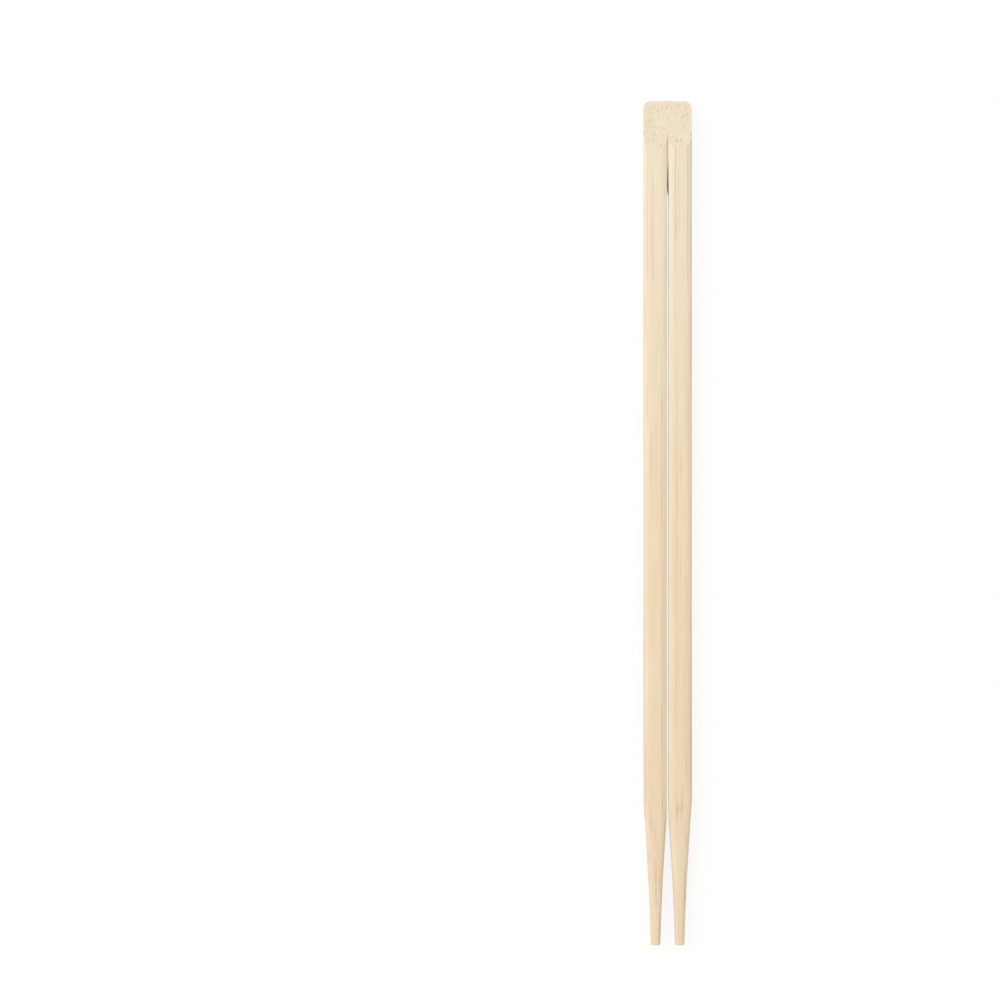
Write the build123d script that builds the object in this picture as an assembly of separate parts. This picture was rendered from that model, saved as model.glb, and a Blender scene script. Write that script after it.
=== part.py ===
from build123d import *
import os
from math import sqrt

# A joined pair of bamboo chopsticks with a slanted head, made as one piece.
# Two sticks are milled side by side in one strip of bamboo: every long edge is rounded, each stick
# is shaped down to a tip, a circular saw parts the sticks from the tips almost to the head, and the
# head is cut off at a slant. Whoever eats with them pulls the two sticks apart first.
# The pair lies on its flat underside, with the head at +Y, the tips at -Y and the origin on the
# surface under its middle.

# Strip
pair_length = 240.0
stick_width = 6.84
thickness = 5.0
land_width = 2.8  # flat left along the top and the underside of each stick
side_height = 2.6  # flat left along each side, and the height of the web that joins the heads

# Tips
taper_length = 41.0
tip_width = 2.75
tip_flat = 0.5  # width of the four flats at the very tip, which is otherwise round
tip_edge_radius = 0.4
taper_power = 1.4  # 1 makes a plain cone, and more thins it sooner and leaves the tip straighter
taper_steps = 6  # stretches between the outlines that the taper runs through

# Slanted head
slant_length = 13.3
head_edge = 1.5  # thickness left at the very end
head_corner_radius = 2.2  # rounds the two outer corners of the end, seen from above

# Saw slit between the sticks
slit_width = 0.5
saw_radius = 60.0
saw_overcut = 1.0  # how far the blade reaches out below the underside
joined_length = 25.0  # how far from the head the blade first cuts right through the web

# How far the cutting shapes reach past the strip
beyond = 5.0

head_y = pair_length / 2
tip_y = -pair_length / 2


def section(y, width, height, flat_across, flat_up):
    """One stick cut across at y: four quarter ellipses joined by flats, centred on the stick."""
    right, top = flat_across / 2, flat_up / 2
    corner_width, corner_height = width / 2 - right, height / 2 - top
    corners = [
        EllipticalCenterArc(centre, corner_width, corner_height, start_angle=90 * turn, arc_size=90)
        for turn, centre in enumerate([(right, top), (-right, top), (-right, -top), (right, -top)])
    ]
    flats = [Line(corners[turn - 1] @ 1, corners[turn] @ 0) for turn in range(4)]
    across_stick = Plane(origin=(stick_width / 2, y, thickness / 2), x_dir=(1, 0, 0), z_dir=(0, -1, 0))
    return across_stick * make_face(corners + flats)


def tapered(t, at_tip, at_body):
    """A size along the taper, from the tip at t = 0 to the straight body at t = 1."""
    return at_tip + (at_body - at_tip) * t**taper_power


def taper_section(t):
    return section(
        tip_y + t * taper_length,
        tapered(t, tip_width, stick_width),
        tapered(t, tip_width, thickness),
        tapered(t, tip_flat, land_width),
        tapered(t, tip_flat, side_height),
    )


# One stick, with a straight body and a tapered tip whose end edge is eased
body = extrude(section(head_y, stick_width, thickness, land_width, side_height), pair_length - taper_length)
taper = loft([taper_section(step / taper_steps) for step in range(taper_steps + 1)])
taper = fillet(taper.faces().sort_by(Axis.Y)[0].edges(), tip_edge_radius)
stick = body + taper

# Both sticks side by side in the strip
pair = stick + mirror(stick, Plane.YZ)

# The slit, as long as the saw travels, with the round of the blade at its end
saw_height = saw_radius - saw_overcut
web_bottom = (thickness - side_height) / 2
saw_y = head_y - joined_length - sqrt(saw_radius**2 - (saw_height - web_bottom) ** 2)
blade = Pos(0, saw_y, saw_height) * Rot(0, 90, 0) * Cylinder(saw_radius, slit_width)
travel = Pos(0, (saw_y + tip_y - beyond) / 2, thickness / 2) * Box(
    slit_width, saw_y - tip_y + beyond, thickness + 2 * beyond
)
pair -= blade + travel

# The slanted head
slope = (thickness - head_edge) / slant_length
slant = Plane.YZ * make_face(
    Polyline(
        (head_y - slant_length - beyond, thickness + slope * beyond),
        (head_y + beyond, head_edge - slope * beyond),
        (head_y + beyond, thickness + slope * beyond),
        close=True,
    )
)
pair -= extrude(slant, stick_width + beyond, both=True)

# The rounded corners of its end
corner_size = head_corner_radius + beyond
corner_centre = Pos(stick_width - head_corner_radius, head_y - head_corner_radius)
corner = corner_centre * (
    Pos(corner_size / 2, corner_size / 2) * Rectangle(corner_size, corner_size) - Circle(head_corner_radius)
)
corner = extrude(corner, thickness + beyond, both=True)
pair -= corner + mirror(corner, Plane.YZ)

os.makedirs("parts", exist_ok=True)
export_step(pair, "parts/chopstick_pair.step")
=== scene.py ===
import math

import bmesh
import bpy
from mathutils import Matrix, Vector, noise


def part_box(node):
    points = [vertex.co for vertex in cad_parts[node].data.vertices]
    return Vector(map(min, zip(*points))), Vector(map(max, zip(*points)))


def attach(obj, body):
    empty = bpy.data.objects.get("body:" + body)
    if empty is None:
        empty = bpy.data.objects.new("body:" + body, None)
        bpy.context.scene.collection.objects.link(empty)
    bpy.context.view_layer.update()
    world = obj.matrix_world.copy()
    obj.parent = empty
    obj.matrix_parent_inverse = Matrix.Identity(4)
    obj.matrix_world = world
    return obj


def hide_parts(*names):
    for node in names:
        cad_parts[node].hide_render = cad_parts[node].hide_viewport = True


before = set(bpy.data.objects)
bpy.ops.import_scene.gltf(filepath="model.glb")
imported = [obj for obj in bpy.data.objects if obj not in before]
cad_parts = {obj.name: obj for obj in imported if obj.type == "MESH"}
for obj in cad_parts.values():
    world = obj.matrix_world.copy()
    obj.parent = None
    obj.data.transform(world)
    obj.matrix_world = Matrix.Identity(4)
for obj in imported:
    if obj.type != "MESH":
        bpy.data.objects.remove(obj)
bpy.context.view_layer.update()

# The joined pair of chopsticks
# One strip of bamboo, milled into two sticks with rounded edges and round tips, sanded and left bare. A saw
# parts them from the tips almost to the head, where they stay joined, and the head is cut off at a slant.
low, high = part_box("chopstick_pair")
mm = 0.001  # a millimetre in metres, as the sizes of the pair are given in mm
tip_y, head_y = low.y / mm, high.y / mm
stick_width, thickness = high.x / mm, high.z / mm
middle = thickness / 2
land_width, side_height = 2.8, 2.6  # flats left between the rounded edges of each stick
taper_length, taper_power = 41.0, 1.4  # a power of 1 is a plain cone, and more thins the stick sooner
tip_width, tip_flat, tip_edge_radius = 2.75, 0.5, 0.4
slant_length, head_edge, head_corner_radius = 13.3, 1.5, 2.2  # the edge is the thickness left at the end
slit_width, saw_radius, saw_overcut = 0.5, 60.0, 1.0
joined_length = 25.0  # from the head to where the saw first cuts right through

slit_side = slit_width / 2
slant_y = head_y - slant_length
slope = (thickness - head_edge) / slant_length
saw_z = saw_radius - saw_overcut
web_bottom = middle - side_height / 2
saw_y = head_y - joined_length - math.sqrt(saw_radius**2 - (saw_z - web_bottom) ** 2)


def stick_at(y):
    """Width, height, flat across and flat up of one stick cut across at y."""
    share = min(1, (y - tip_y) / taper_length) ** taper_power
    from_edge = max(0, tip_edge_radius - (y - tip_y))
    eased = tip_edge_radius - math.sqrt(tip_edge_radius**2 - from_edge**2)
    width, height, across, up = (
        end + (full - end) * share
        for end, full in (
            (tip_width, stick_width),
            (tip_width, thickness),
            (tip_flat, land_width),
            (tip_flat, side_height),
        )
    )
    return width - 2 * eased, height - 2 * eased, across, up


def half_height(x, y):
    """How far the rounded section reaches above and below the middle at x and y."""
    width, height, across, up = stick_at(y)
    past_land = max(0, abs(x - stick_width / 2) - across / 2) / (width / 2 - across / 2)
    return up / 2 + (height / 2 - up / 2) * math.sqrt(max(0, 1 - past_land**2))


def slant_z(y):
    return thickness - slope * (y - slant_y)


def blade_z(y):
    """The lowest point that the round blade reaches at y, past the middle of its travel."""
    return saw_z - math.sqrt(max(0, saw_radius**2 - max(0, y - saw_y) ** 2))


def blade_y(z):
    return saw_y + math.sqrt(saw_radius**2 - (saw_z - z) ** 2)


def evenly(start, end, step):
    """Places from start up to end, end left out, about step apart."""
    count = max(1, round((end - start) / step))
    return [start + (end - start) * i / count for i in range(count)]


# Where along the strip its outline is drawn: closest at the tips and round the slit's end and the slant
taper_step, body_step, groove_step, web_step, slant_step = 1.0, 1.5, 0.4, 0.3, 0.4
round_steps = 8
wall_meet_y = blade_y(middle - half_height(slit_side, 0))
wall_exit_y = blade_y(middle + half_height(slit_side, 0))
quarter = [math.pi / 2 * i / round_steps for i in range(round_steps)]
stations = [tip_y + tip_edge_radius * (1 - math.cos(turn)) for turn in quarter]
stations += evenly(tip_y + tip_edge_radius, tip_y + taper_length, taper_step)
stations += evenly(tip_y + taper_length, wall_meet_y, body_step)
stations += evenly(wall_meet_y, wall_exit_y, groove_step)
stations += evenly(wall_exit_y, slant_y, web_step)
stations += evenly(slant_y, head_y - head_corner_radius, slant_step)
stations += [head_y - head_corner_radius * (1 - math.sin(turn)) for turn in quarter]
stations.append(head_y)

# Points across the top and the underside, closest at their edges, then up the sides and between the sticks
columns, rows, strips = 36, 6, 4
spread = [(1 - math.cos(math.pi * i / columns)) / 2 for i in range(columns + 1)]
settling_rounds = 8  # enough for the top's outer point to settle on the rounded corner


def inner_x(y):
    return max(slit_side, stick_width / 2 - stick_at(y)[0] / 2)


def outer_x(y):
    into_corner = min(head_corner_radius, max(0, y - (head_y - head_corner_radius)))
    rounded_off = head_corner_radius - math.sqrt(head_corner_radius**2 - into_corner**2)
    return stick_width / 2 + stick_at(y)[0] / 2 - rounded_off


def to_slant(x, y):
    """Moves a point of the top along the stick, so that one drawn line follows the slant's edge exactly."""
    edge = (middle - half_height(x, 0)) / slope
    if y < wall_exit_y:
        return y
    if y < slant_y:
        return y + edge * (y - wall_exit_y) / (slant_y - wall_exit_y)
    return y + edge * (head_y - y) / (head_y - slant_y)


def to_meeting(x, y):
    """Moves a point between the sticks, so that the slit's floor and the underside end on one line."""
    start = blade_y(middle - half_height(x, 0))
    reach = (wall_exit_y - wall_meet_y) / 2
    return y + (start - wall_meet_y) * max(0, 1 - (y - wall_meet_y) / reach)


def outline(y):
    """The outside of the right stick at a station, from its inner top edge round to its inner bottom edge."""
    inside, outside = inner_x(y), outer_x(y)
    top_outside = outside
    for _ in range(settling_rounds):
        top_outside = outer_x(to_slant(top_outside, y))
    top = []
    for share in spread:
        x = inside + (top_outside - inside) * share
        along = to_slant(x, y)
        top.append((x, along, min(middle + half_height(x, along), slant_z(along))))
    across = [inside + (outside - inside) * share for share in spread]
    bottom = [(x, y, middle - half_height(x, y)) for x in across]
    side = []
    for row in range(1, rows):
        along, z = (a + (b - a) * row / rows for a, b in zip(top[-1][1:], bottom[-1][1:]))
        side.append((outer_x(along), along, z))
    return top + side + bottom[::-1]


def slit_wall(y):
    """The wall beside the slit at a station, from its bottom edge up to its top edge."""
    x = inner_x(y)
    foot = max(middle - half_height(x, y), blade_z(y))
    top = middle + half_height(x, y)
    return [(x, y, foot + (top - foot) * row / rows) for row in range(rows + 1)]


def between_top(y):
    """From the joint between the sticks to the slit's side: the slit's floor, the groove and the slant."""
    points = []
    for strip in range(strips + 1):
        x = slit_side * strip / strips
        along = to_slant(x, to_meeting(x, y))
        points.append((x, along, min(blade_z(along), middle + half_height(x, along), slant_z(along))))
    return points


def between_bottom(y):
    """From the slit's side to the joint between the sticks, under the web."""
    points = []
    for strip in range(strips, -1, -1):
        x = slit_side * strip / strips
        along = to_meeting(x, y)
        points.append((x, along, middle - half_height(x, along)))
    return points


# Each surface of a stick is a grid of points, unrolled side by side on the map that its bamboo is baked
# through. The map runs along the stick in u and round it in v, so that fibres keep their detail across it.
mesh = bmesh.new()
bake_map = mesh.loops.layers.uv.new("OFBake")
map_edge, map_middle, map_length = 0.012, 0.5, 0.9  # shares of the map
tip_place, head_place = (0.955, 0.7), (0.985, 0.3)  # where the ends lie on the map
map_gap, between_width = 0.3, 0.9  # mm round the stick, for a gap and for the strips between the sticks


def unrolled(points):
    """Distances round the stick from the first point to each of the others, seen end on."""
    lengths = [0]
    for a, b in zip(points, points[1:]):
        lengths.append(lengths[-1] + math.hypot(b[0] - a[0], b[2] - a[2]))
    return lengths


outline_places, wall_places = unrolled(outline(0)), unrolled(slit_wall(0))
between_places = [between_width * strip / strips for strip in range(strips + 1)]
round_stick = (
    ([between_top(y) for y in stations if y >= wall_meet_y], between_places, 0),
    ([outline(y) for y in stations], outline_places, 0),
    ([slit_wall(y) for y in stations if y <= wall_exit_y], wall_places, map_gap),
    ([between_bottom(y) for y in stations if y >= wall_meet_y], between_places, 0),
)
map_width = 2 * (sum(places[-1] + gap for _, places, gap in round_stick) + map_gap)
map_scale = (1 - 2 * map_edge) / map_width


def add_face(points, places):
    face = mesh.faces.new([mesh.verts.new([c * mm for c in point]) for point in points])
    for corner, place in zip(face.loops, places):
        corner[bake_map].uv = place


def add_grid(grid, places, start, side):
    """The faces between a grid's points, on the right stick with side 1 and on the left with side -1."""
    for near, far in zip(grid, grid[1:]):
        for j in range(len(places) - 1):
            corners = [(near[j], j), (near[j + 1], j + 1), (far[j + 1], j + 1), (far[j], j)][::side]
            points = [(side * x, y, z) for (x, y, z), _ in corners]
            u = [map_edge + map_length * (y - tip_y) / (head_y - tip_y) for _, y, _ in points]
            v = [map_middle - side * map_scale * (start + places[k]) for _, k in corners]
            add_face(points, zip(u, v))


def add_end(ring, place, facing, side):
    """One end of a stick, at its own place on the map. Facing is 1 at the head and -1 at the tip."""
    points = [(side * x, y, z) for x, y, z in ring][:: side * facing]
    add_face(
        points,
        [(place[0] + facing * map_scale * (z - middle), place[1] + map_scale * x) for x, _, z in points],
    )


for side in (1, -1):
    start = map_gap / 2
    for grid, places, gap in round_stick:
        add_grid(grid, places, start, side)
        start += places[-1] + gap
    add_end(outline(tip_y) + slit_wall(tip_y)[1:-1], tip_place, -1, side)
    add_end(between_top(head_y)[:-1] + outline(head_y) + between_bottom(head_y)[1:], head_place, 1, side)

weld = 0.0002
bmesh.ops.remove_doubles(mesh, verts=mesh.verts, dist=weld * mm)
bmesh.ops.recalc_face_normals(mesh, faces=mesh.faces)

# Bamboo is never quite straight: each stick wanders a little across and up, but lies flat on its underside
wander, wander_length, apart = 0.07, 50.0, 9.0
across_layer, up_layer = 3.1, 8.7  # two places in the noise that have nothing in common
for vert in mesh.verts:
    x, y, z = vert.co / mm
    across = noise.noise(Vector((x / apart, y / wander_length, across_layer)))
    up = noise.noise(Vector((x / apart, y / wander_length, up_layer)))
    vert.co.x += wander * across * mm
    vert.co.z += wander * up * z / thickness * mm

sharp_from = math.radians(32)
pair_mesh = bpy.data.meshes.new("chopsticks")
mesh.to_mesh(pair_mesh)
mesh.free()
pair_mesh.shade_smooth()
pair_mesh.set_sharp_from_angle(angle=sharp_from)
chopsticks = bpy.data.objects.new("chopsticks", pair_mesh)
bpy.context.scene.collection.objects.link(chopsticks)
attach(chopsticks, "root")
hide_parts("chopstick_pair")

# Its bamboo is pale ground tissue with bundles of tan fibres that run the whole length of the strip, closest
# under its top face, where the skin of the culm was. The long faces show them as streaks, and the slant and
# the ends as dots. It is paler where the saw went through, as sawn bamboo is, and paler still there by
# painted light that lifts the shade in the narrow slit.
# The head's tone is painted light: it is paler for the slanted head face, as the lamp lights it brightly
tip_tone, body_tone, head_tone_painted_light = (0.82, 0.655, 0.455, 1), (0.85, 0.685, 0.465, 1), (0.88, 0.77, 0.59, 1)
paler_from = 0.45  # share of the length, from the tips, past which the strip turns paler
dense, chalky = (0.80, 0.60, 0.38, 1), (0.93, 0.84, 0.68, 1)
strand_tan, bundle_tan, pore_brown = (0.73, 0.54, 0.34, 1), (0.60, 0.40, 0.23, 1), (0.40, 0.25, 0.13, 1)
# Paler on the slit, as sawn bamboo is, and paler still as painted light that lifts the slit's shade
sawn_with_painted_light = (0.96, 0.91, 0.80, 1)
bamboo = bpy.data.materials.new("bamboo")
bamboo.use_nodes = True
tree = bamboo.node_tree
surface = tree.nodes["Principled BSDF"]


def put(kind, settings=None, **inputs):
    """A new node in the tree in hand, with inputs set or linked by their names, or by _ and their numbers."""
    made = tree.nodes.new("ShaderNode" + kind)
    for name, value in (settings or {}).items():
        setattr(made, name, value)
    for name, value in inputs.items():
        socket = made.inputs[int(name[1:])] if name[0] == "_" else made.inputs[name]
        if isinstance(value, bpy.types.NodeSocket):
            tree.links.new(value, socket)
        else:
            socket.default_value = value
    return made


def join(a, b, how="MULTIPLY"):
    return put("Math", {"operation": how}, _0=a, _1=b).outputs[0]


def fade(value, start, end, first=0.0, last=1.0):
    """Eases from the first level to the last as a value goes from start to end."""
    easing = {"interpolation_type": "SMOOTHSTEP"}
    return put("MapRange", easing, _0=value, _1=start, _2=end, _3=first, _4=last).outputs[0]


def tint(base, colour, share):
    return put("Mix", {"data_type": "RGBA"}, _0=share, _6=base, _7=colour).outputs[2]


def stretched(vector, across, along):
    """Places counted in steps of the given sizes across and along the stick."""
    return put("Mapping", Vector=vector, Scale=(1 / across, 1 / along, 1 / across)).outputs[0]


def streaks(across, along, detail):
    """An uneven level, in streaks of about the given width and length."""
    return put("TexNoise", Vector=stretched(place, across, along), Scale=1.0, Detail=detail).outputs[0]


# Places in mm, as measured and as the fibres lie, which meander a little as they run along
meander, neighbour_width, meander_length = 2.2, 12.0, 90.0
measured = put("Mapping", Vector=put("TexCoord").outputs["Object"], Scale=(1 / mm, 1 / mm, 1 / mm)).outputs[0]
x_measured, y_measured, _ = put("SeparateXYZ", Vector=measured).outputs
long_steps = stretched(measured, neighbour_width, meander_length)
drift = put("TexNoise", Vector=long_steps, Scale=1.0).outputs["Color"]
swing = put(
    "VectorMath",
    {"operation": "MULTIPLY_ADD"},
    _0=drift,
    _1=(meander, 0.0, meander),
    _2=(-meander / 2, 0.0, -meander / 2),
)
place = put("VectorMath", {"operation": "ADD"}, _0=measured, _1=swing.outputs[0]).outputs[0]
x_fibre, _, z_fibre = put("SeparateXYZ", Vector=place).outputs

# Bundles of fibres, each of its own size and depth of colour, with fine pores in their middle
bundle_spacing, closer_under_skin = 1.0, 1.45
smallest_bundle, largest_bundle = 0.13, 0.28  # radii, as shares of the spacing
closer = fade(z_fibre, start=0.0, end=thickness, first=1.0, last=closer_under_skin)
end_on = put("CombineXYZ", X=join(x_fibre, closer), Y=join(z_fibre, closer)).outputs[0]
cells = put("TexVoronoi", {"voronoi_dimensions": "2D"}, Vector=end_on, Scale=1 / bundle_spacing)
own_size, own_depth, _ = put("SeparateColor", Color=cells.outputs["Color"]).outputs
radius = fade(own_size, start=0.0, end=1.0, first=smallest_bundle, last=largest_bundle)
from_middle = join(cells.outputs["Distance"], radius, "DIVIDE")
bundle = fade(from_middle, start=1.25, end=0.65)
pores = fade(from_middle, start=0.45, end=0.15)

# Strands and finer fibres between them, broad bands where the culm grew denser, and chalky blotches
strand_width, strand_length = 0.15, 26.0
fibre_width, fibre_length = 0.06, 9.0
band_width, band_length = 2.6, 170.0
blotch_width, blotch_length = 4.0, 26.0
strands = streaks(strand_width, strand_length, detail=3.0)
fibres = streaks(fibre_width, fibre_length, detail=2.0)
bands = streaks(band_width, band_length, detail=1.0)
blotches = streaks(blotch_width, blotch_length, detail=2.0)

# Colour, palest at the head, where the paleness is painted light for its lit slanted face, and warmest at the
# tips, and paler still on the walls of the saw's slit, as sawn bamboo is and as painted light that lifts the
# slit's shade
dense_share, blotch_share, strand_share, fibre_share = 0.4, 0.3, 0.35, 0.35
faintest_bundle, strongest_bundle, strongest_pore = 0.15, 0.48, 0.45
sawn_margin, sawn_blur, sawn_run_out = 0.06, 0.07, 3.0
tone = put("ValToRGB", Fac=put("MapRange", _0=y_measured, _1=tip_y, _2=head_y).outputs[0])
stops = tone.color_ramp.elements
stops[0].color, stops[1].color = tip_tone, head_tone_painted_light
stops.new(paler_from).color = body_tone
colour = tint(tone.outputs[0], dense, fade(bands, start=0.48, end=0.72, last=dense_share))
colour = tint(colour, chalky, fade(blotches, start=0.5, end=0.75, last=blotch_share))
colour = tint(colour, strand_tan, fade(strands, start=0.5, end=0.75, last=strand_share))
colour = tint(colour, chalky, fade(fibres, start=0.5, end=0.8, last=fibre_share))
bundle_depth = fade(own_depth, start=0.0, end=1.0, first=faintest_bundle, last=strongest_bundle)
colour = tint(colour, bundle_tan, join(bundle, bundle_depth))
pore_depth = fade(own_depth, start=0.2, end=1.0, last=strongest_pore)
colour = tint(colour, pore_brown, join(pores, pore_depth))
# The slit's walls and floor get the pale tone: partly sawn bamboo, partly painted light against the slit's
# shade
from_joint = put("Math", {"operation": "ABSOLUTE"}, _0=x_measured).outputs[0]
sawn_side = slit_side + sawn_margin
in_slit = fade(from_joint, start=sawn_side + sawn_blur, end=sawn_side)
past_run_out = fade(y_measured, start=wall_exit_y, end=wall_exit_y - sawn_run_out)
colour = tint(colour, sawn_with_painted_light, join(in_slit, past_run_out))
tree.links.new(colour, surface.inputs["Base Color"])

# Dull ground, slightly polished on the harder bundles
dullest, smoothest, bundle_polish, shine = 0.62, 0.54, 0.08, 0.35
ground_dullness = fade(strands, start=0.3, end=0.7, first=dullest, last=smoothest)
dullness = join(ground_dullness, join(bundle, bundle_polish), "SUBTRACT")
tree.links.new(dullness, surface.inputs["Roughness"])
surface.inputs["Specular IOR Level"].default_value = shine

# Relief, with strands and fibres that stand proud and pores that are sunk
relief_depth, relief_strength = 0.07, 0.8
strand_relief, fibre_relief, pore_relief = 0.5, 0.4, 0.6
relief = join(join(strands, strand_relief), join(fibres, fibre_relief), "ADD")
relief = join(relief, join(pores, pore_relief), "SUBTRACT")
bumps = put("Bump", Strength=relief_strength, Distance=relief_depth * mm, Height=relief)
tree.links.new(bumps.outputs[0], surface.inputs["Normal"])
pair_mesh.materials.append(bamboo)

# The table
# A plain top, painted a matt white and smooth all over, that the pair lies on loose. It is seen as white as
# the room, apart from the pair's soft shadow.
table_reach = 8  # metres each way, past the edge of any view
table_white, shadow_share = 0.8, 0.15
table_mesh = bpy.data.meshes.new("table")
corners = [(x * table_reach, y * table_reach, 0) for x, y in ((-1, -1), (1, -1), (1, 1), (-1, 1))]
table_mesh.from_pydata(corners, [], [(0, 1, 2, 3)])
table = bpy.data.objects.new("table", table_mesh)
bpy.context.scene.collection.objects.link(table)
white_top = bpy.data.materials.new("white_top")
white_top.use_nodes = True
tree = white_top.node_tree
tree.nodes.clear()


def for_the_eye(shown, lit_by, output):
    """Shows one thing straight, in a gloss or through a clear thing, while the pair is lit by another."""
    rays = put("LightPath").outputs
    seen = join(rays["Is Camera Ray"], rays["Is Glossy Ray"], "MAXIMUM")
    seen = join(seen, rays["Is Transmission Ray"], "MAXIMUM")
    put(output, _0=put("MixShader", _0=seen, _1=lit_by.outputs[0], _2=shown.outputs[0]).outputs[0])


shaded = put("BsdfDiffuse", Color=(shadow_share, shadow_share, shadow_share, 1))
clean = put("Emission", Strength=1 - shadow_share)
shown_top = put("AddShader", _0=shaded.outputs[0], _1=clean.outputs[0])
real_top = put("BsdfDiffuse", Color=(table_white, table_white, table_white, 1))
for_the_eye(shown_top, real_top, "OutputMaterial")
table_mesh.materials.append(white_top)

# The light
# An even white room, with one wide soft lamp above the pair and to its left. Together they light a level
# surface fully, so that its colour shows as it is.
lamp_share, lamp_tilt, lamp_width = 0.22, math.radians(45), math.radians(40)
room = bpy.data.worlds.new("white_room")
bpy.context.scene.world = room
room.use_nodes = True
tree = room.node_tree
tree.nodes.clear()
white = (1, 1, 1, 1)
shown_room = put("Background", Color=white)
real_room = put("Background", Color=white, Strength=1 - lamp_share)
for_the_eye(shown_room, real_room, "OutputWorld")
lamp = bpy.data.lights.new("soft_lamp", "SUN")
lamp.angle = lamp_width
lamp.energy = lamp_share * math.pi / math.cos(lamp_tilt)
lamp_object = bpy.data.objects.new("soft_lamp", lamp)
lamp_object.rotation_euler = (0, -lamp_tilt, 0)
bpy.context.scene.collection.objects.link(lamp_object)

# The camera
# It looks straight down on the pair through a long lens, with the head up. The pair stands to the right of
# the middle of the picture and almost fills its height.
picture_width, pair_pixels = 1000, 844
pair_middle = (667.6, 523)  # in pixels from the picture's top left corner
lens_length, sensor_width = 200, 36
camera = bpy.data.cameras.new("camera")
camera.lens, camera.sensor_width = lens_length, sensor_width
pixel = (high.y - low.y) / pair_pixels
camera_object = bpy.data.objects.new("camera", camera)
camera_object.location = (
    (picture_width / 2 - pair_middle[0]) * pixel,
    (pair_middle[1] - picture_width / 2) * pixel,
    picture_width * pixel * lens_length / sensor_width + middle * mm,
)
bpy.context.scene.collection.objects.link(camera_object)
bpy.context.scene.camera = camera_object
bpy.context.scene.view_settings.view_transform = "Standard"
